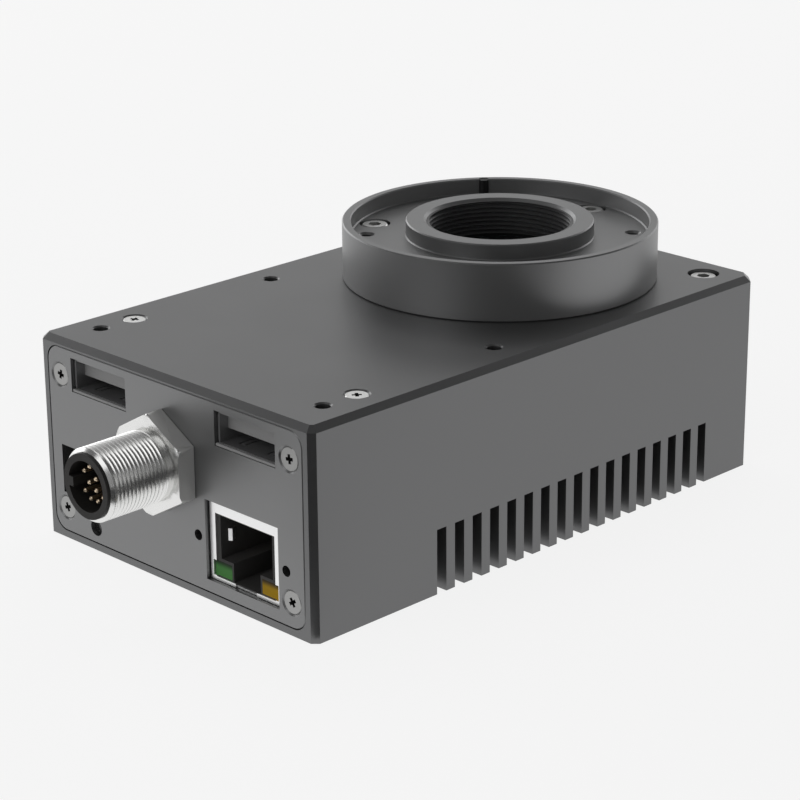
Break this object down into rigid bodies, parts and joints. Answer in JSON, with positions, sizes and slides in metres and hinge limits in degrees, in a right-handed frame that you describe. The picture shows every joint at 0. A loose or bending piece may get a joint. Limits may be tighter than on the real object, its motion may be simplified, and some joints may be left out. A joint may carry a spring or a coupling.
{
  "type": "machine vision camera",
  "caption": "Box-shaped machine vision camera: threaded lens mount on top, round connector, network jack and ports on the front, cooling slots across the base.",
  "frame": {"origin": "middle of the body's base, on the plane it stands on", "axes": "+Z is the optical axis, out of the lens mount; +X runs to the right along the connector face as seen from in front; +Y runs to the rear, away from the connectors"},
  "size_m": [0.065, 0.1216, 0.045],
  "materials": {
    "anodised_body": "satin dark grey anodised",
    "anodised_panel": "satin dark grey anodised",
    "anodised_mount": "satin dark grey anodised, turned",
    "anodised_ring": "black anodised",
    "black_rubber": "matte",
    "plated_screw": "zinc plated",
    "black_steel": "black oxide",
    "filter_glass": "coated optical glass",
    "circuit_board": "green solder mask",
    "ceramic": "fired ceramic",
    "silicon": "polished silicon",
    "cover_glass": "thin optical glass",
    "plated_brass": "nickel plated brass",
    "black_plastic": "moulded, matte",
    "bare_aluminium": "milled",
    "chip_package": "moulded epoxy",
    "thermal_rubber": "soft silicone",
    "bright_nickel": "bright nickel plate on brass",
    "gold_plate": "gold plate",
    "tin_plate": "bright tin plate",
    "green_lens": "translucent green",
    "amber_lens": "translucent amber",
    "smoked_plastic": "clear, smoked",
    "lamp_chip": "lamp chip",
    "dark_steel": "dark plated sheet steel",
    "grey_plastic": "moulded, mid grey"
  },
  "bodies": {
    "root": {"aux_socket": "black_plastic", "aux_socket_pins": "gold_plate", "board_header": "black_plastic", "board_posts": "plated_brass", "board_receptacle": "black_plastic", "connector_panel": "anodised_panel", "filter_glass": "filter_glass", "filter_ring": "anodised_ring", "frame_screws_front": "plated_screw", "frame_screws_rear": "plated_screw", "heat_spreader": "bare_aluminium", "housing": "anodised_body", "index_pin": "black_steel", "inner_frame": "bare_aluminium", "jack_body": "black_plastic", "jack_contacts": "gold_plate", "jack_lamp_amber": "amber_lens", "jack_lamp_green": "green_lens", "jack_shield": "tin_plate", "lens_mount": "anodised_mount", "lens_mount_screws": "plated_screw", "lens_mount_seal": "black_rubber", "main_board": "circuit_board", "main_board_screws": "plated_screw", "memory_chips": "chip_package", "panel_gasket": "black_rubber", "panel_posts": "plated_brass", "panel_screws": "plated_screw", "port_block_left": "grey_plastic", "port_block_right": "grey_plastic", "port_shell_left": "dark_steel", "port_shell_right": "dark_steel", "power_coils": "chip_package", "processor": "chip_package", "round_connector_insert": "black_plastic", "round_connector_nut": "bright_nickel", "round_connector_pins": "gold_plate", "round_connector_seal": "black_rubber", "round_connector_shell": "bright_nickel", "sensor_board": "circuit_board", "sensor_board_screws": "plated_screw", "sensor_chip": "silicon", "sensor_cover_glass": "cover_glass", "sensor_package": "ceramic", "sensor_plug": "black_plastic", "sensor_posts": "plated_brass", "sensor_receptacle": "black_plastic", "status_lamp": "lamp_chip", "status_light_pipe": "smoked_plastic", "thermal_pad": "thermal_rubber", "upright_board": "circuit_board", "upright_board_screws": "plated_screw"}
  },
  "joints": []
}
